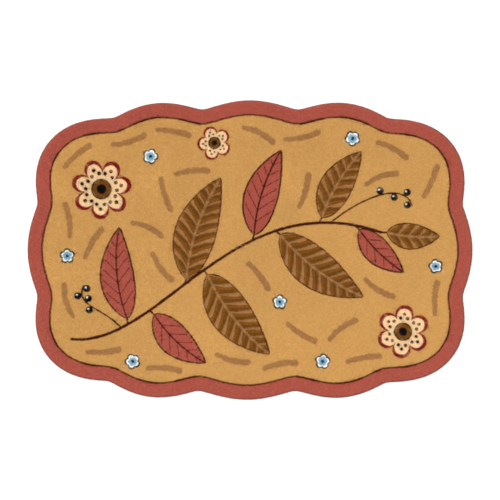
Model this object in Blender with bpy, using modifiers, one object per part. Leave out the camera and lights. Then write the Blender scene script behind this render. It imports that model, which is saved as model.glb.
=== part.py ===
"""A plush rug: one flat cut-pile solid with a softly lobed rim and a rounded pile edge.

The rug lies on the floor, pile up. X runs along its length, Y across its width, and the
origin is on the floor under the middle of its box. Run it with
blender --background --python part.py, or from Blender's text editor.
"""

import math
from collections import namedtuple

import bmesh
import bpy
import numpy as np

# Driving sizes, in metres: the rug's box, then how the pile rounds over at its edge
LENGTH = 1.500
WIDTH = 1.010
THICKNESS = 0.012
PILE_ROUND = 0.007
PILE_ROUND_STEPS = 4

# The rim stands on a superellipse, whose exponent says how square the rug's corners are
SQUARENESS = 3.6
RIM_POINTS = 336
# Steps in which the rim is worked out before it is cut down to its points
FINE_STEPS = 8192
# How softly two lobes meet, as a share of a lobe's swell
NOTCH_SOFTNESS = 0.11

# The rim's lobes, anticlockwise, the first centred on the middle of the right side.
# share is a lobe's part of the rim's length, and swell is how far it stands out from the
# superellipse, in metres. The four corners have the broadest lobes or share two.
Lobe = namedtuple("Lobe", "share swell")
LOBES = (
    Lobe(share=0.074, swell=0.030),
    Lobe(share=0.100, swell=0.036),
    Lobe(share=0.073, swell=0.030),
    Lobe(share=0.076, swell=0.032),
    Lobe(share=0.071, swell=0.029),
    Lobe(share=0.101, swell=0.037),
    Lobe(share=0.075, swell=0.030),
    Lobe(share=0.098, swell=0.036),
    Lobe(share=0.072, swell=0.030),
    Lobe(share=0.077, swell=0.031),
    Lobe(share=0.073, swell=0.030),
    Lobe(share=0.102, swell=0.037),
)

CARAMEL_PILE = (0.617, 0.314, 0.098, 1.0)
PILE_ROUGHNESS = 0.95

# Edges flatter than this are shaded smooth, and points nearer than this are one point
SMOOTH_ANGLE = math.radians(40.0)
WELD_DISTANCE = 1e-5


def clear_scene():
    """Removes what the startup scene holds."""
    for thing in list(bpy.data.objects):
        bpy.data.objects.remove(thing)


def evenly_spaced(loop, count):
    """count points at equal steps along a closed loop of points."""
    ring = np.vstack([loop, loop[:1]])
    along = np.concatenate([[0.0], np.cumsum(np.hypot(*np.diff(ring, axis=0).T))])
    at = np.arange(count) * along[-1] / count
    return np.column_stack([np.interp(at, along, ring[:, axis]) for axis in (0, 1)])


def superellipse(count):
    """Points of |x/a|^n + |y/b|^n = 1 at equal steps along it, anticlockwise from +X."""
    angle = np.arange(FINE_STEPS) * math.tau / FINE_STEPS
    wave = np.column_stack([np.cos(angle), np.sin(angle)])
    shaped = np.sign(wave) * np.abs(wave) ** (2.0 / SQUARENESS)
    return evenly_spaced(shaped * (LENGTH / 2, WIDTH / 2), count)


def outward(loop):
    """Unit normals of an anticlockwise loop, pointing out of it."""
    along = np.roll(loop, -1, axis=0) - np.roll(loop, 1, axis=0)
    normal = np.column_stack([along[:, 1], -along[:, 0]])
    return normal / np.hypot(*normal.T)[:, None]


def swell_at(share):
    """How far the rim stands out at a share of its length: half a sine wave for each lobe,
    with the sharp foot between two waves rounded by NOTCH_SOFTNESS."""
    total = sum(lobe.share for lobe in LOBES)
    ends = np.cumsum([lobe.share for lobe in LOBES]) / total
    starts = np.concatenate([[0.0], ends[:-1]])
    turned = (share + ends[0] / 2) % 1.0
    index = np.minimum(np.searchsorted(ends, turned, side="right"), len(LOBES) - 1)
    across = (turned - starts[index]) / (ends - starts)[index]
    swell = np.array([lobe.swell for lobe in LOBES])[index]
    soft = np.sqrt(np.sin(math.pi * across) ** 2 + NOTCH_SOFTNESS**2) - NOTCH_SOFTNESS
    return swell * soft / (math.sqrt(1.0 + NOTCH_SOFTNESS**2) - NOTCH_SOFTNESS)


def rim():
    """The rug's outline: the superellipse pushed out by its lobes, at its stated size."""
    base = superellipse(FINE_STEPS)
    share = np.arange(FINE_STEPS) / FINE_STEPS
    lobed = evenly_spaced(base + outward(base) * swell_at(share)[:, None], RIM_POINTS)
    low, high = lobed.min(axis=0), lobed.max(axis=0)
    return (lobed - (low + high) / 2) * (LENGTH, WIDTH) / (high - low)


def pile_material():
    """Dry, matt caramel pile."""
    material = bpy.data.materials.new("caramel_pile")
    material.use_nodes = True
    shader = material.node_tree.nodes["Principled BSDF"]
    shader.inputs["Base Color"].default_value = CARAMEL_PILE
    shader.inputs["Roughness"].default_value = PILE_ROUGHNESS
    shader.inputs["Metallic"].default_value = 0.0
    return material


def slab(name, outline):
    """A flat mesh of the outline, THICKNESS high, with its underside on the floor."""
    flat = bpy.data.curves.new(name + "_outline", "CURVE")
    flat.dimensions = "2D"
    flat.fill_mode = "BOTH"
    flat.extrude = THICKNESS / 2
    spline = flat.splines.new("POLY")
    spline.points.add(len(outline) - 1)
    for point, (x, y) in zip(spline.points, outline):
        point.co = (x, y, 0.0, 1.0)
    spline.use_cyclic_u = True
    drawn = bpy.data.objects.new(name + "_outline", flat)
    bpy.context.scene.collection.objects.link(drawn)
    bpy.context.view_layer.update()
    graph = bpy.context.evaluated_depsgraph_get()
    mesh = bpy.data.meshes.new_from_object(drawn.evaluated_get(graph))
    bpy.data.objects.remove(drawn)
    shape = bmesh.new()
    shape.from_mesh(mesh)
    bmesh.ops.remove_doubles(shape, verts=shape.verts, dist=WELD_DISTANCE)
    bmesh.ops.translate(shape, verts=shape.verts, vec=(0.0, 0.0, THICKNESS / 2))
    bmesh.ops.recalc_face_normals(shape, faces=shape.faces)
    shape.to_mesh(mesh)
    shape.free()
    mesh.name = name
    return mesh


def weigh_top_rim(mesh):
    """Marks the rim's top edges, so that only they are rounded."""
    weight = mesh.attributes.new("bevel_weight_edge", "FLOAT", "EDGE")
    beside_wall = set()
    for face in mesh.polygons:
        if abs(face.normal.z) < 0.5:
            beside_wall.update(face.edge_keys)
    for edge in mesh.edges:
        on_top = all(mesh.vertices[end].co.z > THICKNESS / 2 for end in edge.vertices)
        weight.data[edge.index].value = float(on_top and edge.key in beside_wall)


def plush_rug(collection):
    """The rug itself: backing and pile in one piece, its pile rounding over at the rim."""
    mesh = slab("plush_rug", rim())
    weigh_top_rim(mesh)
    mesh.materials.append(pile_material())
    mesh.shade_smooth()
    mesh.set_sharp_from_angle(angle=SMOOTH_ANGLE)
    rug = bpy.data.objects.new("plush_rug", mesh)
    collection.objects.link(rug)
    rounding = rug.modifiers.new("pile_edge", "BEVEL")
    rounding.limit_method = "WEIGHT"
    rounding.offset_type = "OFFSET"
    rounding.width = PILE_ROUND
    rounding.segments = PILE_ROUND_STEPS
    return rug


def main():
    clear_scene()
    collection = bpy.data.collections.new("plush_rug")
    bpy.context.scene.collection.children.link(collection)
    plush_rug(collection)


main()
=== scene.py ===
"""A printed plush rug: cut pile on a canvas backing, lying flat and seen from above.

Laid out as a Blender add-on and run as a script. Each operator makes one piece, or one
group of like pieces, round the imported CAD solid, and the last one sets the stage.
All sizes are in metres unless a name says otherwise.
"""

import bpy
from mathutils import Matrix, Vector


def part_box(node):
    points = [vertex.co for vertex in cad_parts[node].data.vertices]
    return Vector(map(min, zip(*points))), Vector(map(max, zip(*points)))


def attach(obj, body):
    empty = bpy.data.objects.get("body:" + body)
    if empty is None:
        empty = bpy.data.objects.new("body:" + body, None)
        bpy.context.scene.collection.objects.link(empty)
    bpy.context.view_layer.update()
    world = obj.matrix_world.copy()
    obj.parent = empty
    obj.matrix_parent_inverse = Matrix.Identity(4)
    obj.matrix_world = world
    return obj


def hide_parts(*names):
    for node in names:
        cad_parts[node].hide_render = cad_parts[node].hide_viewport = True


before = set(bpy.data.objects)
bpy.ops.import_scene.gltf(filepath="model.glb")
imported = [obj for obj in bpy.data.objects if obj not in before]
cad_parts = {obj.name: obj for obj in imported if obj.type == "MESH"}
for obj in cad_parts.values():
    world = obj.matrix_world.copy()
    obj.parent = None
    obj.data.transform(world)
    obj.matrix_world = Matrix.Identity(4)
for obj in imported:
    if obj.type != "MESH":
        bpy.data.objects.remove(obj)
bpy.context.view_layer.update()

import math
from collections import namedtuple
from functools import lru_cache

import bpy
import numpy as np

bl_info = {
    "name": "Printed plush rug",
    "version": (1, 0, 0),
    "blender": (4, 5, 0),
    "location": "3D View > Sidebar > Rug",
    "description": "Dresses the rug's solid with a backing and printed cut pile",
    "category": "Object",
}

NODE = "plush_rug"

LOW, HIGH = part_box(NODE)
THICKNESS = HIGH.z - LOW.z

# The rim as the solid has it: the pile's edge rounds over by this radius
RIM_ROUND = 0.007
# The canvas, how high its cut edge rounds over, and how far inside the rim it lies
CANVAS_THICK = 0.0018
CANVAS_FOOT = 0.0006
CANVAS_INSET = 0.0028
# Heights nearer than this are one height, and points that agree to so many decimals are one
TOLERANCE = 0.0001
DECIMALS = 5

SEED = 7
# What each pattern and each piece adds to the seed, so that each draws numbers of its own
DRAWS = dict(hand=1, brush=2, streak=3, dye=4)
DRAWS |= dict(nap_x=21, nap_y=22, swell=23, clump_x=24, clump_y=25, shade=26)
DRAWS |= dict(lattice=11, field=31, border=41, rim=51)
# Random heights and leans are cut off at so many times their spread
FARTHEST = 2


def draws(name, extra=0):
    """The random numbers of a pattern or a piece, the same in each run."""
    return np.random.default_rng(SEED + DRAWS[name] + extra)


def bell(rng, *shape, highest=FARTHEST):
    """Random numbers from a bell curve round 0 with a spread of 1, cut off at both ends."""
    return rng.standard_normal(shape).clip(-FARTHEST, highest)


def parts_of(hex_colour):
    """The red, green and blue of an sRGB hex value, from 0 to 1 and still gamma coded."""
    return tuple(int(hex_colour[at : at + 2], 16) / 255 for at in (0, 2, 4))


def linear(coded):
    """The linear colours of gamma-coded ones."""
    coded = np.clip(coded, 0.0, 1.0)
    return np.where(coded <= 0.04045, coded / 12.92, ((coded + 0.055) / 1.055) ** 2.4)


def rgba(hex_colour):
    """The linear colour of an sRGB hex value, as a shader takes it."""
    return (*linear(parts_of(hex_colour)), 1.0)


def ink(name, description, hex_colour):
    """A colour property for one ink of the print. It is gamma coded, as a picker shows it."""
    return bpy.props.FloatVectorProperty(
        name=name,
        description=description,
        default=parts_of(hex_colour),
        size=3,
        min=0.0,
        max=1.0,
        subtype="COLOR_GAMMA",
    )


class RugInks(bpy.types.PropertyGroup):
    """The inks of the print. They look darker on the rug, where the tufts shade each other."""

    caramel: ink("Caramel", "The field", "D1A565")
    terracotta: ink("Terracotta", "The border and the red leaves", "B56152")
    chestnut: ink("Chestnut", "The brown leaves and the flowers' hearts", "85561D")
    tan: ink("Tan", "The brush dabs on the field and the brown leaves' ribs", "AE8152")
    umber: ink("Umber", "The stem, the tendrils and the drawn lines", "501C00")
    cream: ink("Cream", "The petals", "F2D2A6")
    wine: ink("Wine", "The petals' rims", "851B1F")
    slate: ink("Slate blue", "The small blossoms' inner petals", "8CB5C6")
    white: ink("White", "The small blossoms, and the light on the berries", "FFFEFB")
    seed: ink("Seed brown", "The specks on the petals", "3A1200")
    black: ink("Black", "The berries, the blossoms' outlines and the flowers' eyes", "060403")


INK_NAMES = tuple(RugInks.__annotations__)
INK = {name: number for number, name in enumerate(INK_NAMES)}


def length(name, description, default):
    """A length property, in metres."""
    return bpy.props.FloatProperty(
        name=name,
        description=description,
        default=default,
        min=0.0,
        precision=4,
        unit="LENGTH",
        subtype="DISTANCE",
    )


class RugSizes(bpy.types.PropertyGroup):
    """The sizes of the pile and of the print."""

    tuft_spacing: length("Tuft spacing", "From one tuft to the next", 0.0024)
    tuft_width: length("Tuft width", "A tuft's half width where it leaves the packed pile", 0.0019)
    pile_showing: length("Pile showing", "How deep one can look between the tufts", 0.0040)
    pile_uneven: length("Unevenness", "How much the tufts' tips differ in height", 0.0005)
    nap: length("Nap", "How far a tuft's tip leans with the lie of the pile", 0.0006)
    scatter: length("Scatter", "How far a tuft's tip leans at random", 0.0005)
    clumping: length("Clumping", "How far neighbouring tips lean together", 0.00119)
    border: length("Border", "Width of the border", 0.050)
    line: length("Line", "Width of a drawn line", 0.0054)
    border_line: length("Border's line", "Width of the line inside the border", 0.0064)


class RugStage(bpy.types.PropertyGroup):
    """The light and the camera."""

    frame_width: length("Frame width", "How much of the floor the picture spans", 1.6816)
    lens_mm: bpy.props.FloatProperty(
        name="Lens", description="Focal length, in millimetres", default=85.0, min=10.0
    )
    sky: bpy.props.FloatProperty(
        name="Sky", description="Strength of the white surroundings", default=0.8, min=0.0
    )
    lamp: bpy.props.FloatProperty(
        name="Lamp", description="Strength of the big soft light overhead", default=2.8, min=0.0
    )
    lamp_tilt: bpy.props.FloatProperty(
        name="Lamp tilt",
        description="How far the soft light stands off the vertical, to the upper left",
        default=math.radians(20),
        subtype="ANGLE",
    )


# The rug's outline and its distances


@lru_cache(maxsize=None)
def outline():
    """The rug's outline, anticlockwise: the corners of the solid's underside, each taken
    once, in the order of their angles round the middle."""
    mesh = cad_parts[NODE].data
    corners = np.empty(len(mesh.vertices) * 3)
    mesh.vertices.foreach_get("co", corners)
    corners = corners.reshape(-1, 3)
    ground = corners[corners[:, 2] < LOW.z + TOLERANCE, :2]
    ground = np.unique(ground.round(DECIMALS), axis=0)
    return ground[np.argsort(np.arctan2(ground[:, 1], ground[:, 0]))]


@lru_cache(maxsize=None)
def spaced_outline(count):
    """count points at equal steps along the outline, and the unit normals that point out."""
    ring = np.vstack([outline(), outline()[:1]])
    along = np.concatenate([[0.0], np.cumsum(np.hypot(*np.diff(ring, axis=0).T))])
    at = np.arange(count) * along[-1] / count
    points = np.column_stack([np.interp(at, along, ring[:, axis]) for axis in (0, 1)])
    way = np.roll(points, -1, axis=0) - np.roll(points, 1, axis=0)
    normals = np.column_stack([way[:, 1], -way[:, 0]])
    return points, normals / np.hypot(*normals.T)[:, None]


def distance_to_path(x, y, path):
    """The shortest way from each point to a path of straight pieces."""
    nearest = np.full(np.shape(x), np.inf)
    for start, end in zip(path[:-1], path[1:]):
        step = end - start
        share = ((x - start[0]) * step[0] + (y - start[1]) * step[1]) / (step @ step)
        share = np.clip(share, 0.0, 1.0)
        away = np.hypot(x - start[0] - share * step[0], y - start[1] - share * step[1])
        nearest = np.minimum(nearest, away)
    return nearest


def lattice_value(lattice, u, v):
    """Reads a lattice between its points, with straight blends along each axis."""
    i = np.clip(np.floor(u).astype(int), 0, lattice.shape[0] - 2)
    j = np.clip(np.floor(v).astype(int), 0, lattice.shape[1] - 2)
    across, up = u - i, v - j
    low = lattice[i, j] * (1 - across) + lattice[i + 1, j] * across
    high = lattice[i, j + 1] * (1 - across) + lattice[i + 1, j + 1] * across
    return low * (1 - up) + high * up


# The distances to the outline are kept this far apart, and up to this far outside its box
EDGE_STEP = 0.004
EDGE_MARGIN = 0.020
# The way to the outline is taken between points this far to both sides of a place
EDGE_PROBE = 0.002


@lru_cache(maxsize=None)
def edge_lattice():
    """Distances to the outline on a square lattice, positive inside the rug. A point is
    inside if it is nearer to the middle than the outline is in its direction."""
    columns = np.arange(LOW.x - EDGE_MARGIN, HIGH.x + EDGE_MARGIN + EDGE_STEP, EDGE_STEP)
    rows = np.arange(LOW.y - EDGE_MARGIN, HIGH.y + EDGE_MARGIN + EDGE_STEP, EDGE_STEP)
    x, y = np.meshgrid(columns, rows, indexing="ij")
    loop = outline()
    away = distance_to_path(x, y, np.vstack([loop, loop[:1]]))
    bearing = np.arctan2(loop[:, 1], loop[:, 0])
    reach = np.interp(np.arctan2(y, x), bearing, np.hypot(*loop.T), period=math.tau)
    return np.where(np.hypot(x, y) < reach, away, -away)


def edge_distance(x, y):
    """How far inside the outline each point lies."""
    u = (x - LOW.x + EDGE_MARGIN) / EDGE_STEP
    v = (y - LOW.y + EDGE_MARGIN) / EDGE_STEP
    return lattice_value(edge_lattice(), u, v)


def way_out(x, y):
    """The direction from each point to the outline: against the slope of the distance."""
    out_x = edge_distance(x - EDGE_PROBE, y) - edge_distance(x + EDGE_PROBE, y)
    out_y = edge_distance(x, y - EDGE_PROBE) - edge_distance(x, y + EDGE_PROBE)
    return np.column_stack([out_x, out_y]) / (2 * EDGE_PROBE)


DRIFT_CELLS = 64


def drift(x, y, size, name):
    """Smooth noise from -1 to 1: random values on a square lattice that is size apart,
    blended between its points with the ease 3t^2 - 2t^3, and repeated past its end."""
    values = draws(name).uniform(-1, 1, (DRIFT_CELLS, DRIFT_CELLS))
    u, v = x / size, y / size
    i, j = np.floor(u).astype(int), np.floor(v).astype(int)
    across, up = u - i, v - j
    across, up = across**2 * (3 - 2 * across), up**2 * (3 - 2 * up)
    i, j, right, above = (n % DRIFT_CELLS for n in (i, j, i + 1, j + 1))
    low = values[i, j] * (1 - across) + values[right, j] * across
    high = values[i, above] * (1 - across) + values[right, above] * across
    return low * (1 - up) + high * up


# The print: a branch with leaves, flowers and brush dabs inside a border. Places are in
# metres from the rug's middle, and headings are in degrees from +X.

# A drawn curve is made of this many points, and its direction is taken over this step
CURVE_POINTS = 48
CURVE_STEP = 0.01

STEM = ((-0.600, -0.300), (-0.300, -0.330), (-0.060, 0.230), (0.440, 0.060))
STEM_WIDTH = 0.0095
TENDRILS = (
    ((-0.433, -0.262), (-0.500, -0.190), (-0.590, -0.190), (-0.560, -0.120)),
    ((0.271, 0.092), (0.385, 0.185), (0.520, 0.230), (0.545, 0.150)),
)

# along is the stem's parameter, from 0 at its foot to 1, and turn is in degrees from its
# direction there. bend is how far a leaf bows, as a share of its length.
Leaf = namedtuple("Leaf", "along turn length width bend ink")
LEAVES = (
    Leaf(along=0.215, turn=66, length=0.330, width=0.118, bend=0.07, ink="terracotta"),
    Leaf(along=0.300, turn=-78, length=0.260, width=0.108, bend=-0.06, ink="terracotta"),
    Leaf(along=0.430, turn=34, length=0.380, width=0.142, bend=0.06, ink="chestnut"),
    Leaf(along=0.500, turn=-88, length=0.360, width=0.140, bend=-0.06, ink="chestnut"),
    Leaf(along=0.660, turn=46, length=0.320, width=0.118, bend=0.06, ink="terracotta"),
    Leaf(along=0.730, turn=-56, length=0.370, width=0.138, bend=-0.06, ink="chestnut"),
    Leaf(along=0.850, turn=56, length=0.280, width=0.112, bend=0.05, ink="chestnut"),
    Leaf(along=0.940, turn=-34, length=0.230, width=0.092, bend=-0.05, ink="terracotta"),
    Leaf(along=1.000, turn=14, length=0.200, width=0.090, bend=-0.04, ink="chestnut"),
)
# The powers that say where a leaf is fullest and how blunt its ends are
LEAF_FULLEST = 0.8
LEAF_BLUNT = 0.75
# A leaf's stalk, and how many times its length it is drawn, to end under the leaf
STALK = 0.020
STALK_WIDTH = STEM_WIDTH * 2 / 3
STALK_DRAWN = 1.4

# A brown leaf's ribs: their spacing, how they run forward from the midrib and bend back
# towards the edge, and how unsteady they are, in wanderings of the hand
RIB_SPACING = 0.036
RIB_FORWARD = 0.9
RIB_BEND = 3.0
RIB_UNSTEADY = 2
# A rib's share of the spacing at the midrib, which grows by RIB_SPREAD for each leaf's
# width that it is away from it. Past RIB_RUNS_OUT of the width a rib reaches the edge.
RIB_SHARE = 0.14
RIB_SPREAD = 0.70
RIB_RUNS_OUT = 0.2
MIDRIB = 0.008
# How much lighter a brown leaf gets from rib to rib and towards its edge, and how far from
# the midrib it has its ink's own tone, as a share of its width
RIB_SHADE = 0.22
EDGE_SHADE = 0.16
EVEN_TONE = 0.25
# The outline of a brown leaf, as a share of a drawn line's width
BROWN_OUTLINE = 0.7

# A terracotta leaf's veins: their spacing, their share of it, how they run forward from the
# middle one, and how far inside the edge it and they end
VEIN_SPACING = 0.040
VEIN_SHARE = 0.09
VEIN_FORWARD = 1.1
MIDDLE_VEIN_ENDS = 0.006
VEIN_ENDS = 0.010

Flower = namedtuple("Flower", "x y radius petals turn")
FLOWERS = (
    Flower(x=-0.500, y=0.205, radius=0.102, petals=7, turn=10),
    Flower(x=0.515, y=-0.275, radius=0.090, petals=6, turn=25),
    Flower(x=-0.120, y=0.360, radius=0.058, petals=5, turn=40),
)
# How round the petals' ends are: the power of the cosine that draws them
PETAL_ROUND = 0.55
# A flower's sizes, as shares of its radius: how deep it is cut between two petals, the
# petals' rims, the heart and its black middle, and a speck's radius
PETAL_DEPTH = 0.40
PETAL_RIM = 0.14
HEART = 0.30
HEART_MIDDLE = 0.16
SPECK = 0.064
# How much lighter a petal is at its end than at its root, and where it has its own tone
PETAL_SHADE = 0.07
PETAL_EVEN = 0.65
# The ring round the heart, as a share of a drawn line's width
HEART_OUTLINE = 0.7
# Where a petal's specks lie, as shares of the flower's radius: out from the heart, and across
SPECKS = ((0.50, 0.13), (0.50, -0.13), (0.66, 0.0))

Blossom = namedtuple("Blossom", "x y radius turn")
BLOSSOMS = (
    Blossom(x=-0.335, y=0.315, radius=0.027, turn=0),
    Blossom(x=-0.615, y=-0.020, radius=0.026, turn=20),
    Blossom(x=-0.395, y=-0.375, radius=0.027, turn=40),
    Blossom(x=0.245, y=-0.375, radius=0.027, turn=10),
    Blossom(x=0.625, y=-0.055, radius=0.025, turn=30),
    Blossom(x=0.345, y=0.375, radius=0.027, turn=50),
    Blossom(x=0.100, y=-0.175, radius=0.026, turn=15),
)
BLOSSOM_PETALS = 5
# How deep a blossom is cut between two petals, and how far out it is blue, as shares of its
# rim, and its dark eye as a share of its radius
BLOSSOM_DEPTH = 0.30
BLOSSOM_BLUE = 0.58
BLOSSOM_EYE = 0.20

# A berry's radius. The other sizes are shares of it: how far its middle is beside the
# tendril, its spot of light, and how far to the left and up that lies.
BERRY = 0.0122
BERRY_BESIDE = 1.15
BERRY_LIGHT = 0.26
BERRY_LIGHT_OFF = 0.3
# Where the berries sit: the share along their tendril, and the side, left or right
BERRIES = ((0.50, 1), (0.66, -1), (0.82, 1), (0.97, -1))

# bow is how far a dab bows to its left, as a share of its length
Dab = namedtuple("Dab", "x y heading bow")
DABS = (
    Dab(x=-0.585, y=0.317, heading=40, bow=0.05),
    Dab(x=-0.409, y=0.365, heading=16, bow=-0.07),
    Dab(x=-0.259, y=0.398, heading=-10, bow=0.04),
    Dab(x=0.030, y=0.393, heading=-26, bow=0.08),
    Dab(x=0.175, y=0.380, heading=12, bow=-0.05),
    Dab(x=0.480, y=0.340, heading=-28, bow=0.06),
    Dab(x=0.610, y=0.230, heading=66, bow=-0.04),
    Dab(x=0.440, y=0.245, heading=20, bow=0.09),
    Dab(x=0.185, y=0.198, heading=74, bow=-0.06),
    Dab(x=0.623, y=-0.163, heading=86, bow=0.05),
    Dab(x=0.432, y=-0.132, heading=-32, bow=-0.08),
    Dab(x=0.380, y=-0.364, heading=10, bow=0.04),
    Dab(x=0.308, y=-0.265, heading=36, bow=0.07),
    Dab(x=0.170, y=-0.280, heading=-32, bow=-0.05),
    Dab(x=0.100, y=-0.385, heading=10, bow=0.06),
    Dab(x=-0.060, y=-0.370, heading=-14, bow=-0.07),
    Dab(x=-0.290, y=-0.398, heading=-4, bow=0.05),
    Dab(x=-0.494, y=-0.342, heading=4, bow=-0.04),
    Dab(x=-0.616, y=-0.173, heading=106, bow=0.08),
    Dab(x=-0.610, y=0.100, heading=98, bow=-0.06),
    Dab(x=-0.530, y=0.024, heading=60, bow=0.05),
    Dab(x=-0.345, y=0.075, heading=-24, bow=0.09),
    Dab(x=-0.286, y=0.187, heading=-72, bow=-0.05),
    Dab(x=-0.196, y=0.265, heading=6, bow=0.06),
    Dab(x=-0.300, y=-0.059, heading=-54, bow=-0.08),
    Dab(x=0.030, y=-0.085, heading=-52, bow=0.05),
)
DAB_LENGTH = 0.128
DAB_WIDTH = 0.0215
# A dab starts at this share of its width, and widens by this power of its length
DAB_START = 0.72
DAB_WIDENS = 0.6
# The mean of 4t(1 - t), so that a bowed dab lies evenly about its place
BOW_MEAN = 0.67
# The brush's streaks: how strong they are, how long, and how many times their width that is
STREAK = 0.035
STREAK_LENGTH = 0.022
STREAK_SLIM = 6

# A flower's and a blossom's points are looked for up to this many radii from its middle
LOOK_FROM = 1.1

# How uneven the dye is, and over what length
DYE_UNEVEN = 0.003
DYE_PATCH = 0.090

# How far a hand-drawn edge wanders, and over what length
HAND_WANDER = 0.0007
HAND_LENGTH = 0.012
BRUSH_WANDER = 0.0024
BRUSH_LENGTH = 0.006

# Painted shade: the pile is coloured darker where it rolls over the rim, for its flank that lies
# in shade
RIM_SHADE = 0.15
RIM_SHADE_FROM = 0.0070
RIM_SHADE_FULL = 0.0040


def curve(points, at):
    """Points of a cubic Bezier curve at the parameters at, from 0 to 1."""
    a, b, c, d = (np.array(point) for point in points)
    t = np.atleast_1d(at)[:, None]
    return (1 - t) ** 3 * a + 3 * (1 - t) ** 2 * t * b + 3 * (1 - t) * t**2 * c + t**3 * d


def turned(x, y, origin, heading):
    """x and y as distances along and across a heading in radians, from an origin."""
    c, s = math.cos(heading), math.sin(heading)
    x, y = x - origin[0], y - origin[1]
    return x * c + y * s, y * c - x * s


def blade(along, across, long, wide, bend):
    """A leaf's blade: (how far each point lies outside it, how far off its midrib). The
    midrib bows by bend * long * 4t(1 - t) at the share t of its length, and the half width
    there is half of wide times sin(pi t^LEAF_FULLEST)^LEAF_BLUNT."""
    t = np.clip(along / long, 0.0, 1.0)
    off = across - bend * long * 4 * t * (1 - t)
    half = wide / 2 * np.sin(math.pi * t**LEAF_FULLEST) ** LEAF_BLUNT
    past = np.maximum(-along, along - long)
    slope = wide / 2 * math.pi / long * np.cos(math.pi * t**LEAF_FULLEST)
    beside = (np.abs(off) - half) / np.sqrt(1 + slope**2)
    return np.where(past > 0, np.hypot(past, off), beside), off


def petals(bearing, count, radius, depth):
    """A flower's rim: its radius falls by the share depth between two petals, as
    |cos(count * bearing / 2)|^PETAL_ROUND does from 1 to 0."""
    wave = np.abs(np.cos(count * bearing / 2)) ** PETAL_ROUND
    return radius * (1 - depth + depth * wave)


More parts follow.
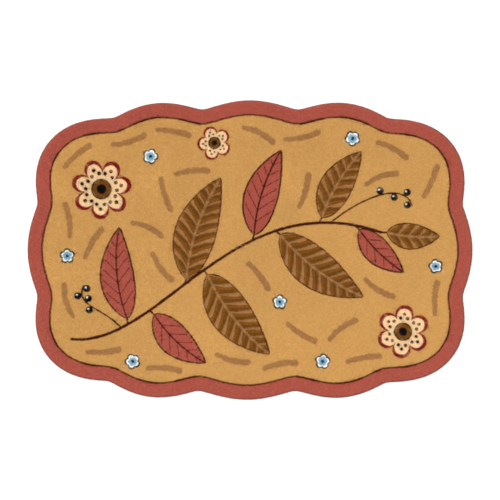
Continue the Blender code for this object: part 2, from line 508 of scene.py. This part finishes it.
class Print:
    """Points of the rug and the ink that each one takes. tone is how much lighter or darker
    than its ink a point is: the print's own shading, and painted shade at the rim."""

    def __init__(self, x, y, sizes):
        self.x, self.y, self.line, self.border_line = x, y, sizes.line, sizes.border_line
        self.ink = np.full(x.shape, INK["caramel"])
        self.tone = np.ones(x.shape)
        self.hand = HAND_WANDER * drift(x, y, HAND_LENGTH, "hand")
        self.brush = BRUSH_WANDER * drift(x, y, BRUSH_LENGTH, "brush")
        for dab in DABS:
            self.dab(dab)
        self.branch()
        for flower in FLOWERS:
            self.flower(flower)
        for blossom in BLOSSOMS:
            self.blossom(blossom)
        self.border(sizes.border)

    def near(self, x, y, reach):
        """The numbers of the points that lie less than reach from a place."""
        return np.flatnonzero((np.abs(self.x - x) < reach) & (np.abs(self.y - y) < reach))

    def lay(self, chosen, where, name):
        """Gives an ink to those of the chosen points that where picks out."""
        self.ink[chosen[where]] = INK[name]

    def dab(self, dab):
        """A brush dab on the field: a bowed stroke with blunt ends, a little thinner where it
        starts, with a ragged edge and with streaks along it."""
        chosen = self.near(dab.x, dab.y, DAB_LENGTH)
        x, y, heading = self.x[chosen], self.y[chosen], math.radians(dab.heading)
        along, across = turned(x, y, (dab.x, dab.y), heading)
        run = DAB_LENGTH - DAB_WIDTH
        t = np.clip(along / run + 0.5, 0.0, 1.0)
        off = across - dab.bow * run * (4 * t * (1 - t) - BOW_MEAN)
        away = np.hypot(along - (t - 0.5) * run, off) + self.brush[chosen]
        inside = away < DAB_WIDTH / 2 * (DAB_START + (1 - DAB_START) * t**DAB_WIDENS)
        self.lay(chosen, inside, "tan")
        streak = drift(along + dab.x, STREAK_SLIM * off, STREAK_LENGTH, "streak")
        self.tone[chosen[inside]] *= 1 + STREAK * streak[inside]

    def stroke(self, points, width, name):
        """A drawn line along a curve."""
        path = curve(points, np.linspace(0, 1, CURVE_POINTS))
        middle, reach = path.mean(axis=0), np.ptp(path, axis=0).max()
        chosen = self.near(*middle, reach)
        away = distance_to_path(self.x[chosen], self.y[chosen], path)
        self.lay(chosen, away + self.hand[chosen] < width / 2, name)

    def branch(self):
        """The stem with its tendrils, their berries, and its leaves."""
        for tendril in TENDRILS:
            self.stroke(tendril, self.line, "umber")
            for place, side in BERRIES:
                self.berry(tendril, place, side)
        self.stroke(STEM, STEM_WIDTH, "umber")
        for leaf in LEAVES:
            self.leaf(leaf)

    def leaf(self, leaf):
        """A leaf on its stalk. A chestnut leaf has tan ribs, and a terracotta one umber
        veins."""
        root = curve(STEM, leaf.along)[0]
        before, after = curve(STEM, np.array([leaf.along - CURVE_STEP, leaf.along]))
        heading = math.atan2(*(after - before)[::-1]) + math.radians(leaf.turn)
        chosen = self.near(*root, leaf.length + leaf.width)
        along, across = turned(self.x[chosen], self.y[chosen], root, heading)
        stalk = (along > 0) & (along < STALK * STALK_DRAWN)
        self.lay(chosen, stalk & (np.abs(across) < STALK_WIDTH / 2), "umber")
        along = along - STALK
        outside, off = blade(along, across, leaf.length - STALK, leaf.width, leaf.bend)
        outside = outside + self.hand[chosen]
        inside, off = outside < 0, np.abs(off)
        self.lay(chosen, inside, leaf.ink)
        if leaf.ink == "chestnut":
            self.ribs(chosen, along, off, outside, leaf.width)
        else:
            self.veins(chosen, along, off, outside)

    def ribs(self, chosen, along, off, outside, width):
        """A brown leaf's midrib and ribs, its shading between them and its outline. The ribs
        are lines of equal along - RIB_FORWARD * off + RIB_BEND * off^2."""
        inside, share = outside < 0, off / width
        row = along - RIB_FORWARD * off + RIB_BEND * off**2 + RIB_UNSTEADY * self.hand[chosen]
        row = row / RIB_SPACING
        past_rib = row - np.round(row)
        shade = 1 + RIB_SHADE * past_rib + EDGE_SHADE * (share - EVEN_TONE)
        self.tone[chosen[inside]] *= shade[inside]
        rib = np.abs(past_rib) < (RIB_SHARE + RIB_SPREAD * share) / 2
        rib &= (outside < -self.line) | (share > RIB_RUNS_OUT)
        self.lay(chosen, inside & (rib | (off < MIDRIB / 2)), "tan")
        self.lay(chosen, inside & (outside > -BROWN_OUTLINE * self.line), "umber")

    def veins(self, chosen, along, off, outside):
        """A terracotta leaf's drawn veins and outline. The veins are lines of equal
        along - VEIN_FORWARD * off."""
        vein = (along - VEIN_FORWARD * off) / VEIN_SPACING % 1.0 < VEIN_SHARE
        middle = off < self.line / 2
        self.lay(chosen, (outside < -MIDDLE_VEIN_ENDS) & middle, "umber")
        self.lay(chosen, (outside < -VEIN_ENDS) & vein, "umber")
        self.lay(chosen, (outside < 0) & (outside > -self.line), "umber")

    def berry(self, tendril, place, side):
        """A black berry beside a tendril, with a spot of light at its upper left."""
        before, at = curve(tendril, np.array([place - CURVE_STEP, place]))
        way = (at - before) / np.hypot(*(at - before))
        middle = at + side * BERRY * BERRY_BESIDE * np.array([-way[1], way[0]])
        chosen = self.near(*middle, 2 * BERRY)
        x, y = self.x[chosen] - middle[0], self.y[chosen] - middle[1]
        self.lay(chosen, np.hypot(x, y) + self.hand[chosen] < BERRY, "black")
        light_off = BERRY_LIGHT_OFF * BERRY
        light = np.hypot(x + light_off, y - light_off) < BERRY_LIGHT * BERRY
        self.lay(chosen, light, "white")

    def flower(self, flower):
        """Cream petals with a wine rim, dark specks on each petal and a brown heart
        with a black ring and middle."""
        chosen = self.near(flower.x, flower.y, flower.radius * LOOK_FROM)
        x, y = self.x[chosen] - flower.x, self.y[chosen] - flower.y
        away = np.hypot(x, y) + self.hand[chosen]
        bearing = np.arctan2(y, x) - math.radians(flower.turn)
        rim = petals(bearing, flower.petals, flower.radius, PETAL_DEPTH)
        self.lay(chosen, away < rim, "wine")
        self.lay(chosen, away < rim - PETAL_RIM * flower.radius, "cream")
        shade = 1 + PETAL_SHADE * (away / flower.radius - PETAL_EVEN)
        self.tone[chosen] = np.where(away < rim, shade, self.tone[chosen])
        petal = math.tau / flower.petals
        bearing = bearing - petal * np.round(bearing / petal)
        out, across = away * np.cos(bearing), away * np.sin(bearing)
        for speck in SPECKS:
            speck_out, speck_across = np.array(speck) * flower.radius
            off = np.hypot(out - speck_out, across - speck_across)
            self.lay(chosen, off < SPECK * flower.radius, "seed")
        heart = HEART * flower.radius
        self.lay(chosen, away < heart + HEART_OUTLINE * self.line, "black")
        self.lay(chosen, away < heart, "chestnut")
        self.lay(chosen, away < HEART_MIDDLE * flower.radius, "black")

    def blossom(self, blossom):
        """A small white blossom of five petals, drawn in black, with blue inner petals."""
        chosen = self.near(blossom.x, blossom.y, blossom.radius * LOOK_FROM)
        x, y = self.x[chosen] - blossom.x, self.y[chosen] - blossom.y
        away = np.hypot(x, y)
        bearing = np.arctan2(y, x) - math.radians(blossom.turn)
        rim = petals(bearing, BLOSSOM_PETALS, blossom.radius, BLOSSOM_DEPTH)
        self.lay(chosen, away < rim, "black")
        self.lay(chosen, away < rim - self.line, "white")
        self.lay(chosen, away < BLOSSOM_BLUE * rim, "slate")
        self.lay(chosen, away < BLOSSOM_EYE * blossom.radius, "black")

    def border(self, width):
        """The border along the rim, with a drawn line on its inner edge, and painted shade on
        the pile that rolls over the rim: its colour darkens towards the outline."""
        every = np.arange(len(self.x))
        edge = edge_distance(self.x, self.y)
        self.lay(every, edge < width, "terracotta")
        self.lay(every, np.abs(edge - width + self.hand) < self.border_line / 2, "umber")
        # Painted shade: darker from RIM_SHADE_FROM inside the outline, fully so within
        # RIM_SHADE_FULL
        rolled = (RIM_SHADE_FROM - edge) / (RIM_SHADE_FROM - RIM_SHADE_FULL)
        self.tone *= 1 - RIM_SHADE * np.clip(rolled, 0.0, 1.0)


def print_colours(x, y, lighter=0.0):
    """The colour at each point, linear: its coded ink times its tone and the dye's broad
    unevenness, plus lighter, which is a tuft's own grain and painted shade at the roots."""
    settings = bpy.context.scene
    printed = Print(x, y, settings.rug_sizes)
    inks = np.array([getattr(settings.rug_inks, name) for name in INK_NAMES])
    tone = printed.tone * (1 + DYE_UNEVEN * drift(x, y, DYE_PATCH, "dye"))
    return linear(inks[printed.ink] * tone[:, None] + np.reshape(lighter, (-1, 1)))


# Meshes and materials


def mesh_from(name, points, faces):
    """A smooth-shaded mesh of an (n, 3) array of points and an (m, k) array of faces."""
    mesh = bpy.data.meshes.new(name)
    count, sides = faces.shape
    mesh.vertices.add(len(points))
    mesh.vertices.foreach_set("co", points.astype(np.float32).ravel())
    mesh.loops.add(count * sides)
    mesh.loops.foreach_set("vertex_index", faces.astype(np.int32).ravel())
    mesh.polygons.add(count)
    mesh.polygons.foreach_set("loop_start", np.arange(count, dtype=np.int32) * sides)
    mesh.update(calc_edges=True)
    mesh.shade_smooth()
    return mesh


def colour_points(mesh, colours):
    """Writes one colour for each point to the attribute that the pile's material reads."""
    rows = np.column_stack([colours, np.ones(len(colours))]).astype(np.float32)
    mesh.color_attributes.new("print", "FLOAT_COLOR", "POINT")
    mesh.color_attributes["print"].data.foreach_set("color", rows.ravel())


def lay_map(mesh, points, faces):
    """Gives the mesh its own map, which is the piece seen from above, fitted to the square."""
    flat = points[:, :2]
    low, high = flat.min(axis=0), flat.max(axis=0)
    share = ((flat - low) / (high - low))[faces.ravel()]
    layer = mesh.uv_layers.new(name="OFBake")
    layer.uv.foreach_set("vector", share.astype(np.float32).ravel())


def add_piece(name, mesh, materials):
    """Puts a finished mesh in the scene as a piece of the rug."""
    piece = bpy.data.objects.new(name, mesh)
    bpy.context.scene.collection.objects.link(piece)
    for material in materials:
        mesh.materials.append(material)
    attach(piece, "root")
    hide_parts(NODE)
    return piece


def new_material(name):
    """A material with nodes, and its tree and shader."""
    material = bpy.data.materials.new(name)
    material.use_nodes = True
    tree = material.node_tree
    return material, tree, tree.nodes["Principled BSDF"]


def add_node(tree, kind, settings=(), values=(), links=()):
    """Adds a node. settings are (property, value), values are (input, value), and links
    are (input, the output that feeds it)."""
    node = tree.nodes.new(kind)
    for key, value in settings:
        setattr(node, key, value)
    for key, value in values:
        node.inputs[key].default_value = value
    for key, output in links:
        tree.links.new(output, node.inputs[key])
    return node


# Fibres cling together in strands about this thick, and a strand shows for about this far
STRAND = 0.0005
STRAND_LENGTH = 0.0040


@lru_cache(maxsize=None)
def plush_pile():
    """Printed polyester plush: a knitted cut pile, sheared level and printed with dye that
    sinks in. The fibre ends scatter the light, so it is matt, without any highlight, and
    looks a little paler at a grazing view."""
    material, tree, shader = new_material("printed_polyester_plush")
    shader.inputs["Roughness"].default_value = 0.92
    shader.inputs["Specular IOR Level"].default_value = 0.15
    shader.inputs["Sheen Weight"].default_value = 0.10
    shader.inputs["Sheen Roughness"].default_value = 0.45
    place = add_node(tree, "ShaderNodeTexCoord").outputs["Object"]
    dye = add_node(tree, "ShaderNodeAttribute", [("attribute_name", "print")])
    upright = add_node(
        tree,
        "ShaderNodeVectorMath",
        [("operation", "MULTIPLY")],
        [(1, (1 / STRAND, 1 / STRAND, 1 / STRAND_LENGTH))],
        [(0, place)],
    )
    strand = add_node(
        tree,
        "ShaderNodeTexNoise",
        values=[("Scale", 1.0), ("Detail", 1.5), ("Roughness", 0.6)],
        links=[("Vector", upright.outputs["Vector"])],
    )
    shade = add_node(
        tree,
        "ShaderNodeMapRange",
        values=[("From Min", 0.3), ("From Max", 0.7), ("To Min", 0.92), ("To Max", 1.08)],
        links=[("Value", strand.outputs["Fac"])],
    )
    coloured = add_node(
        tree,
        "ShaderNodeVectorMath",
        [("operation", "SCALE")],
        links=[(0, dye.outputs["Color"]), ("Scale", shade.outputs["Result"])],
    )
    tree.links.new(coloured.outputs["Vector"], shader.inputs["Base Color"])
    bump = add_node(
        tree,
        "ShaderNodeBump",
        values=[("Strength", 0.6), ("Distance", STRAND)],
        links=[("Height", strand.outputs["Fac"])],
    )
    tree.links.new(bump.outputs["Normal"], shader.inputs["Normal"])
    return material


# A thread of the canvas, and how far apart the bands of a wave texture of scale 1 are
THREAD = 0.0012
WAVE_BAND = math.tau / 20


@lru_cache(maxsize=None)
def canvas():
    """Natural cotton canvas: a plain weave of unbleached yarn, stiffened with size. It is
    a dry, warm beige with a fine square grain."""
    material, tree, shader = new_material("natural_cotton_canvas")
    shader.inputs["Roughness"].default_value = 0.9
    shader.inputs["Specular IOR Level"].default_value = 0.2
    place = add_node(tree, "ShaderNodeTexCoord").outputs["Object"]
    heights = []
    for direction in ("X", "Y"):
        wave = add_node(
            tree,
            "ShaderNodeTexWave",
            [("bands_direction", direction)],
            [("Scale", WAVE_BAND / THREAD), ("Distortion", 1.0), ("Detail Scale", 2.0)],
            [("Vector", place)],
        )
        heights.append(wave.outputs["Fac"])
    weave = add_node(
        tree, "ShaderNodeMath", [("operation", "MULTIPLY")], links=list(enumerate(heights))
    )
    colour = add_node(
        tree,
        "ShaderNodeMix",
        [("data_type", "RGBA")],
        [("A", rgba("A99474")), ("B", rgba("D3C2A2"))],
        [("Factor", weave.outputs["Value"])],
    )
    tree.links.new(colour.outputs["Result"], shader.inputs["Base Color"])
    bump = add_node(
        tree,
        "ShaderNodeBump",
        values=[("Strength", 0.6), ("Distance", THREAD / 3)],
        links=[("Height", weave.outputs["Value"])],
    )
    tree.links.new(bump.outputs["Normal"], shader.inputs["Normal"])
    return material


# The backing

# Painted shade deep in the pile, where the tufts shade each other: how much darker the imported
# pile and a tuft's foot are coloured, in gamma-coded terms.
GROUND_PAINTED_SHADE = 0.10
FOOT_PAINTED_SHADE = 0.07

# The backing's points: how many go around, and how many rings its top, its underside and
# its rounded edge have
AROUND = 440
TOP_RINGS = 40
UNDER_RINGS = 6
CURVE_RINGS = 6


def ground_level(sizes):
    """The height at which the tufts stand too close to look between."""
    return THICKNESS - sizes.pile_showing


def backing_profile(sizes):
    """The backing's edge, from under the rug round to its top: (inset, height) rows. It is
    a low wall with a small round foot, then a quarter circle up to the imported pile."""
    round_by = ground_level(sizes) - CANVAS_THICK
    sweep = np.linspace(0.0, math.pi / 2, CURVE_RINGS)
    inset = np.concatenate([[CANVAS_FOOT, 0.0], round_by * (1 - np.cos(sweep))])
    height = np.concatenate([[0.0, CANVAS_FOOT], CANVAS_THICK + round_by * np.sin(sweep)])
    return CANVAS_INSET + inset, height


def backing_surface(sizes):
    """The closed sheet that the pile stands in, as a grid of rings: from the middle of the
    underside out to the edge, round it, and back to the middle of the top. Rings at the
    edge are the outline moved in along its normals, and the flat ones are the last of
    these shrunk towards the middle. Returns the points, the faces between the rings, and
    for the fans that close the underside and the top (middle, corners, next corners)."""
    rim, normal = spaced_outline(AROUND)
    inset, height = backing_profile(sizes)
    edge = [
        np.column_stack([rim - normal * step, np.full(AROUND, up)])
        for step, up in zip(inset, height)
    ]
    shrink_under = np.linspace(0.0, 1.0, UNDER_RINGS + 1)[1:-1, None, None]
    shrink_top = np.linspace(1.0, 0.0, TOP_RINGS + 1)[1:-1, None, None]
    flat = np.array([1.0, 1.0, 0.0])
    under = edge[0] * flat * shrink_under + edge[0] * (1 - flat)
    top = edge[-1] * flat * shrink_top + edge[-1] * (1 - flat)
    rings = np.concatenate([under, edge, top])
    points = np.vstack([rings.reshape(-1, 3), [[0, 0, 0], [0, 0, ground_level(sizes)]]])
    count = len(rings)
    around = np.arange(AROUND)
    after = (around + 1) % AROUND
    row = np.arange(count - 1)[:, None] * AROUND
    quads = np.stack([row + around, row + after, row + AROUND + after, row + AROUND + around], -1)
    quads = quads.reshape(-1, 4)
    low_middle, top_middle = count * AROUND, count * AROUND + 1
    last = (count - 1) * AROUND
    return points, quads, (low_middle, after, around), (top_middle, last + around, last + after)


class RUG_OT_lay_backing(bpy.types.Operator):
    """Makes the closed sheet that the pile stands in, with canvas under it"""

    bl_idname = "rug.lay_backing"
    bl_label = "Lay the backing"

    def execute(self, context):
        sizes = context.scene.rug_sizes
        points, quads, *fans = backing_surface(sizes)
        halves = [quads[:, [0, 1, 2]], quads[:, [0, 2, 3]]]
        fans = [np.column_stack([np.full(AROUND, fan[0]), *fan[1:]]) for fan in fans]
        faces = np.vstack(halves + fans)
        mesh = mesh_from("rug_backing", points, faces)
        # Painted shade: the backing's top is coloured darker than the print, for the shade deep
        # between the tufts
        colour_points(mesh, print_colours(*points[:, :2].T, -GROUND_PAINTED_SHADE))
        add_piece("rug_backing", mesh, [plush_pile(), canvas()])
        on_canvas = points[faces, 2].max(axis=1) < CANVAS_THICK + TOLERANCE
        mesh.polygons.foreach_set("material_index", on_canvas.astype(np.int32))
        return {"FINISHED"}


# The pile

TUFT_SIDES = 3
FIELD_BANDS = ("far", "upper", "lower", "near")


def tufts(root, tip, across, half_width, twist):
    """Spikes from root to tip. A spike's foot is TUFT_SIDES points on a circle of
    half_width round its root, square to the spike, turned by twist from the direction
    across. Returns points, foot first and tip last for each spike, and faces."""
    axis = tip - root
    axis /= np.linalg.norm(axis, axis=1)[:, None]
    side = np.cross(across, axis)
    side /= np.linalg.norm(side, axis=1)[:, None]
    other = np.cross(axis, side)
    angle = twist[:, None] + np.arange(TUFT_SIDES) * math.tau / TUFT_SIDES
    ring = np.cos(angle)[..., None] * side[:, None] + np.sin(angle)[..., None] * other[:, None]
    foot = root[:, None] + half_width[:, None, None] * ring
    points = np.concatenate([foot, tip[:, None]], axis=1)
    number = np.arange(TUFT_SIDES)
    one = np.column_stack([number, (number + 1) % TUFT_SIDES, np.full(TUFT_SIDES, TUFT_SIDES)])
    first = np.arange(len(root)) * (TUFT_SIDES + 1)
    faces = one[None] + first[:, None, None]
    return points.reshape(-1, 3), faces.reshape(-1, 3)


def add_pile(name, points, faces, lighter):
    """A piece of pile, printed from above. Each tuft is lighter or darker of itself, and
    its foot is darker: painted shade, for where the tufts shade each other.
    """
    mesh = mesh_from(name, points, faces)
    lighter = np.repeat(lighter[:, None], TUFT_SIDES + 1, axis=1)
    # Painted shade: the tufts' feet are coloured darker, for the shade between them
    lighter[:, :TUFT_SIDES] -= FOOT_PAINTED_SHADE
    colour_points(mesh, print_colours(*points[:, :2].T, lighter.ravel()))
    lay_map(mesh, points, faces)
    return add_piece(name, mesh, [plush_pile()])


# How far inside the outline the upright pile ends and the rim's own tufts begin
UPRIGHT_FROM = 0.0050
# How big a clump of tufts is, and a patch of one shade
CLUMP = 0.0055
SHADE_PATCH = 0.75 * CLUMP
# How much lighter or darker a tuft and a patch are
TUFT_LIGHTER = 0.014
CLUMP_LIGHTER = 0.024
# How far a tuft stands off its place in the lattice, as a share of the spacing
JITTER = 0.3
# The lie of the pile and its height change over these lengths, the height by this share of
# the unevenness
NAP_PATCH = 0.11
SWELL_PATCH = 0.07
SWELL = 0.5
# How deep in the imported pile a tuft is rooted, and the least and the greatest share of its
# stated width that it has
ROOT_DEPTH = 0.0004
WIDTH_SHARES = (0.85, 1.15)
# How far the last upright tufts lean out over the rim, as a share of its rounding
LEAN_OUT = 0.35


def grain(x, y, rng):
    """How much lighter than its print each tuft is, in gamma-coded terms."""
    alone = TUFT_LIGHTER * bell(rng, len(x))
    return alone + CLUMP_LIGHTER * drift(x, y, SHADE_PATCH, "shade")


@lru_cache(maxsize=None)
def upright_tufts(spacing):
    """Where the upright tufts stand: (place, distance from the edge) rows of a lattice of
    equal triangles, each point moved at random by up to JITTER of the spacing."""
    row = spacing * math.sqrt(3) / 2
    rows = np.arange(LOW.y, HIGH.y, row)
    columns = np.arange(LOW.x, HIGH.x, spacing)
    x, y = np.meshgrid(columns, rows)
    x = x + (np.arange(len(rows)) % 2)[:, None] * spacing / 2
    place = np.column_stack([x.ravel(), y.ravel()])
    place += draws("lattice").uniform(-JITTER, JITTER, place.shape) * spacing
    edge = edge_distance(*place.T)
    inside = edge > UPRIGHT_FROM
    return place[inside], edge[inside]


def tip_lean(x, y, edge, sizes, rng):
    """How far each tip stands beside its root: with the lie of the pile, which is mostly
    towards -Y, by scatter, with its clump and, beside the rim, outwards."""
    lie = [drift(x, y, NAP_PATCH, "nap_x"), drift(x, y, NAP_PATCH, "nap_y") - 1.0]
    clump = [drift(x, y, CLUMP, "clump_x"), drift(x, y, CLUMP, "clump_y")]
    lean = sizes.nap * np.column_stack(lie) + sizes.scatter * bell(rng, len(x), 2)
    lean += sizes.clumping * np.column_stack(clump)
    near_rim = np.clip(1 - edge / (2 * RIM_ROUND), 0.0, 1.0)
    return lean + way_out(x, y) * (LEAN_OUT * RIM_ROUND * near_rim)[:, None]


def raise_upright(name, place, edge, sizes, rng):
    """Upright pile: a tip stands over its root, but for its lean. Roots and tips drop
    along a quarter circle of RIM_ROUND in the last steps before the rim."""
    x, y = place.T
    count = len(place)
    lean = tip_lean(x, y, edge, sizes, rng)
    drop = RIM_ROUND - np.sqrt(RIM_ROUND**2 - np.clip(RIM_ROUND - edge, 0, RIM_ROUND) ** 2)
    uneven = SWELL * drift(x, y, SWELL_PATCH, "swell") + bell(rng, count)
    tip = np.column_stack([place + lean, THICKNESS - drop + sizes.pile_uneven * uneven])
    root = np.column_stack([place, ground_level(sizes) - ROOT_DEPTH - drop])
    half_width = sizes.tuft_width * rng.uniform(*WIDTH_SHARES, count)
    across = np.broadcast_to([1.0, 0.0, 0.0], (count, 3))
    points, faces = tufts(root, tip, across, half_width, rng.uniform(0, math.tau, count))
    return add_pile(name, points, faces, grain(x, y, rng))


class RUG_OT_raise_field(bpy.types.Operator):
    """Raises the pile inside the border, in bands across the rug"""

    bl_idname = "rug.raise_field"
    bl_label = "Raise the field's pile"

    def execute(self, context):
        sizes = context.scene.rug_sizes
        place, edge = upright_tufts(sizes.tuft_spacing)
        field = edge >= sizes.border
        place, edge = place[field], edge[field]
        from_far = np.argsort(-place[:, 1], kind="stable")
        parts = np.array_split(from_far, len(FIELD_BANDS))
        for number, (band, part) in enumerate(zip(FIELD_BANDS, parts)):
            rng = draws("field", number)
            raise_upright("pile_field_" + band, place[part], edge[part], sizes, rng)
        return {"FINISHED"}


class RUG_OT_raise_border(bpy.types.Operator):
    """Raises the pile of the border"""

    bl_idname = "rug.raise_border"
    bl_label = "Raise the border's pile"

    def execute(self, context):
        sizes = context.scene.rug_sizes
        place, edge = upright_tufts(sizes.tuft_spacing)
        border = edge < sizes.border
        raise_upright("pile_border", place[border], edge[border], sizes, draws("border"))
        return {"FINISHED"}


# The rim's rows of tufts fan round its edge, at these angles above the floor
RIM_ANGLES = tuple(math.radians(angle) for angle in (-38, -26, -14, -2, 10, 22, 34, 46, 58))
# How far a row's roots are from the centre that it fans out from
RIM_ROOT = 0.0024
# How far the rim's tips sag below their rows, and how near the floor they come
RIM_SAG = 0.0012
RIM_LOWEST = 0.0010
# How close the tufts of a row stand, in spacings, how far they turn at random, at how many
# times its spread their extra length is cut off, and between which shares their width is
RIM_SPACING = 0.8
RIM_TURN = 0.15
RIM_LONGEST = 1.5
RIM_WIDTH_SHARES = (0.8, 1.1)


def rim_row(angle, count, sizes, rng):
    """The roots and tips of a row of the rim, and the way along it. They lie RIM_ROOT and
    RIM_ROUND from a line that runs RIM_ROUND inside the outline and below the top, in the
    direction of the angle."""
    rim, normal = spaced_outline(count)
    turn = angle + rng.uniform(-RIM_TURN, RIM_TURN, count)
    out = np.column_stack([normal * np.cos(turn)[:, None], np.sin(turn)])
    centre = np.column_stack([rim - normal * RIM_ROUND, np.full(count, THICKNESS - RIM_ROUND)])
    along = np.column_stack([-normal[:, 1], normal[:, 0], np.zeros(count)])
    slip = rng.uniform(-0.5, 0.5, (count, 1)) * sizes.tuft_spacing
    reach = RIM_ROUND + sizes.pile_uneven * bell(rng, count, 1, highest=RIM_LONGEST)
    root = centre + RIM_ROOT * out + slip * along
    slip = slip + rng.uniform(-FARTHEST, FARTHEST, (count, 1)) * sizes.scatter
    tip = centre + reach * out + slip * along
    tip[:, 2] -= RIM_SAG * np.maximum(np.sin(turn), 0.0)
    tip[:, 2] = np.maximum(tip[:, 2], RIM_LOWEST)
    return root, tip, along


class RUG_OT_raise_rim(bpy.types.Operator):
    """Raises the rows of tufts that fan out round the rug's edge"""

    bl_idname = "rug.raise_rim"
    bl_label = "Raise the rim's pile"

    def execute(self, context):
        sizes = context.scene.rug_sizes
        rng = draws("rim")
        perimeter = np.hypot(*(np.roll(outline(), -1, axis=0) - outline()).T).sum()
        count = int(perimeter / (RIM_SPACING * sizes.tuft_spacing))
        rows = [rim_row(angle, count, sizes, rng) for angle in RIM_ANGLES]
        root, tip, across = (np.concatenate(column) for column in zip(*rows))
        half_width = sizes.tuft_width * rng.uniform(*RIM_WIDTH_SHARES, len(root))
        twist = rng.uniform(0, math.tau, len(root))
        points, faces = tufts(root, tip, across, half_width, twist)
        add_pile("pile_rim", points, faces, grain(*root[:, :2].T, rng))
        return {"FINISHED"}


# The stage

# Half the floor's side, far enough to meet the horizon in a low view
FLOOR_HALF = 60.0
# The light comes from a big soft box to the upper left, as wide as this angle
LAMP_SPREAD = math.radians(60)
LAMP_TURN = math.radians(-135)


def studio_paper():
    """White studio paper: smooth, matt and evenly lit."""
    material, _, shader = new_material("white_studio_paper")
    shader.inputs["Base Color"].default_value = rgba("E6E6E4")
    shader.inputs["Roughness"].default_value = 1.0
    shader.inputs["Specular IOR Level"].default_value = 0.0
    return material


class RUG_OT_set_stage(bpy.types.Operator):
    """Lays the floor, sets the lights and looks straight down at the rug"""

    bl_idname = "rug.set_stage"
    bl_label = "Set the stage"

    def execute(self, context):
        scene, stage = context.scene, context.scene.rug_stage
        corners = FLOOR_HALF * np.array([[-1, -1, 0], [1, -1, 0], [1, 1, 0], [-1, 1, 0]])
        mesh = mesh_from("floor", corners, np.array([[0, 1, 2, 3]]))
        mesh.materials.append(studio_paper())
        floor = bpy.data.objects.new("floor", mesh)
        scene.collection.objects.link(floor)

        world = bpy.data.worlds.new("white_surroundings")
        world.use_nodes = True
        world.node_tree.nodes["Background"].inputs["Color"].default_value = (1.0, 1.0, 1.0, 1.0)
        world.node_tree.nodes["Background"].inputs["Strength"].default_value = stage.sky
        scene.world = world

        light = bpy.data.lights.new("soft_light", "SUN")
        light.energy = stage.lamp
        light.angle = LAMP_SPREAD
        lamp = bpy.data.objects.new("soft_light", light)
        lamp.rotation_euler = (stage.lamp_tilt, 0.0, LAMP_TURN)
        scene.collection.objects.link(lamp)

        lens = bpy.data.cameras.new("overhead")
        lens.lens = stage.lens_mm
        camera = bpy.data.objects.new("overhead", lens)
        distance = stage.frame_width * lens.lens / lens.sensor_width
        camera.location = (0.0, 0.0, THICKNESS + distance)
        lens.clip_end = 4 * distance
        scene.collection.objects.link(camera)
        scene.camera = camera
        scene.view_settings.view_transform = "Standard"
        return {"FINISHED"}


# The panel, and what runs the script


class RUG_PT_sidebar(bpy.types.Panel):
    """The rug's sizes, inks and light, and the steps that make it"""

    bl_label = "Plush rug"
    bl_idname = "RUG_PT_sidebar"
    bl_space_type = "VIEW_3D"
    bl_region_type = "UI"
    bl_category = "Rug"

    def draw(self, context):
        for title, group in (
            ("Sizes", context.scene.rug_sizes),
            ("Inks", context.scene.rug_inks),
            ("Stage", context.scene.rug_stage),
        ):
            box = self.layout.box()
            box.label(text=title)
            for key in group.__annotations__:
                box.prop(group, key)
        for step in STEPS:
            self.layout.operator(step.bl_idname)


GROUPS = (("rug_inks", RugInks), ("rug_sizes", RugSizes), ("rug_stage", RugStage))
STEPS = (
    RUG_OT_lay_backing,
    RUG_OT_raise_field,
    RUG_OT_raise_border,
    RUG_OT_raise_rim,
    RUG_OT_set_stage,
)


def register():
    """Adds the settings, the steps and the panel to Blender."""
    for name, group in GROUPS:
        bpy.utils.register_class(group)
        setattr(bpy.types.Scene, name, bpy.props.PointerProperty(type=group))
    for kind in (*STEPS, RUG_PT_sidebar):
        bpy.utils.register_class(kind)


def unregister():
    """Takes them out again."""
    for kind in (RUG_PT_sidebar, *reversed(STEPS)):
        bpy.utils.unregister_class(kind)
    for name, group in reversed(GROUPS):
        delattr(bpy.types.Scene, name)
        bpy.utils.unregister_class(group)


def declare_cloth():
    """Takes the outline's x and y, and does nothing more with them."""
    x, y = outline().T


def main():
    register()
    for step in STEPS:
        group, name = step.bl_idname.split(".")
        getattr(getattr(bpy.ops, group), name)()
    declare_cloth()


if __name__ == "__main__":
    main()
